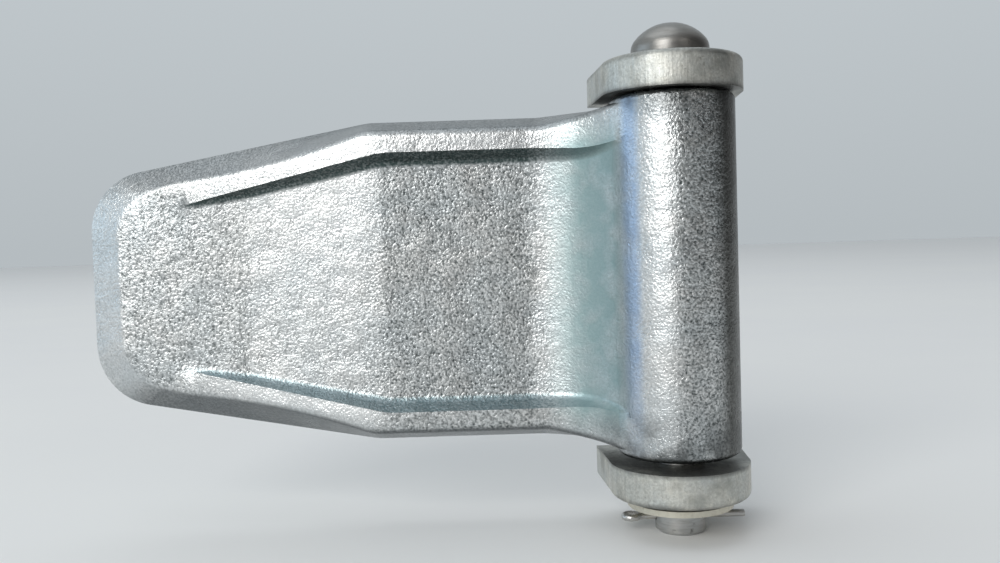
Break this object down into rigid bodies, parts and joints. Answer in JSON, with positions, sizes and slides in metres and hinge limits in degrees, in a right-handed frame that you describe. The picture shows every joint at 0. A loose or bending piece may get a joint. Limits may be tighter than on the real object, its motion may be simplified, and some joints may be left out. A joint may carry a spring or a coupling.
{
  "type": "shipping container door hinge",
  "caption": "Forged weld-on door hinge for a shipping container: ribbed tapering blade with a long barrel, plate lugs on a domed-head pin, and a washer held on by a split pin.",
  "frame": {"origin": "middle of the blade's flat back, halfway from the tip to the pin axis and halfway along the barrel", "axes": "+X from the blade's tip to the barrel, +Y out of the flat back towards the door, +Z along the pin towards its head"},
  "size_m": [0.1878, 0.0402, 0.1391],
  "materials": {
    "forged_zinc": "bright zinc over a rough forged skin",
    "plate_zinc": "dull warm-grey zinc with fine streaks",
    "pin_steel": "satin zinc, smooth",
    "washer_zinc": "pale yellowish zinc",
    "wire_steel": "bright drawn wire"
  },
  "bodies": {
    "blade": {"hinge_blade": "forged_zinc"},
    "upper_lug": {"upper_lug": "plate_zinc"},
    "lower_lug": {"lower_lug": "plate_zinc"},
    "pin": {"hinge_pin": "pin_steel", "split_pin": "wire_steel"},
    "washer": {"washer": "washer_zinc"}
  },
  "joints": [
    {"name": "upper_lug_swing", "type": "hinge", "parent": "blade", "child": "upper_lug", "pos_m": [0.0835, -0.017, 0.05375], "axis": [0, 0, 1], "range_deg": [-270, 0]},
    {"name": "lower_lug_swing", "type": "hinge", "parent": "blade", "child": "lower_lug", "pos_m": [0.0835, -0.017, -0.05585], "axis": [0, 0, 1], "range_deg": [-270, 0]},
    {"name": "pin_turn", "type": "hinge", "parent": "blade", "child": "pin", "pos_m": [0.0835, -0.017, 0], "axis": [0, 0, 1], "continuous": true},
    {"name": "washer_turn", "type": "hinge", "parent": "pin", "child": "washer", "pos_m": [0.0835, -0.017, -0.0626], "axis": [0, 0, 1], "continuous": true}
  ]
}
